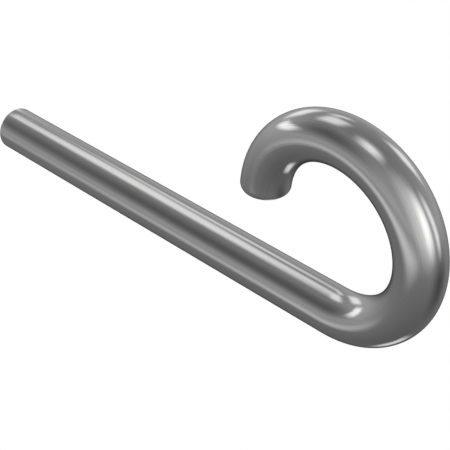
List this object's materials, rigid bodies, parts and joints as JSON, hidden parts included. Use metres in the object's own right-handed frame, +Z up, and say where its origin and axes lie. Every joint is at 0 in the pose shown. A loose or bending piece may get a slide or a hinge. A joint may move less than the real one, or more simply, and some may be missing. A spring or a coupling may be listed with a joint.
{
  "type": "meat hook",
  "caption": "Round-bar meat hook: a straight plain shank that bends up, over the top and back down to a blunt tip, leaving an open mouth above the shank.",
  "frame": {"origin": "centre of the shank's flat cut end", "axes": "+X along the shank from its cut end to the bend; +Z up, the side that the curl turns to; the bar's centreline lies in the XZ plane"},
  "size_m": [0.1497, 0.012, 0.0573],
  "materials": {
    "stainless_steel": "bright drawn and polished stainless steel, with faint lengthwise drawing lines and softly blurred reflections"
  },
  "bodies": {
    "root": {"hook_bar": "stainless_steel"}
  },
  "joints": []
}
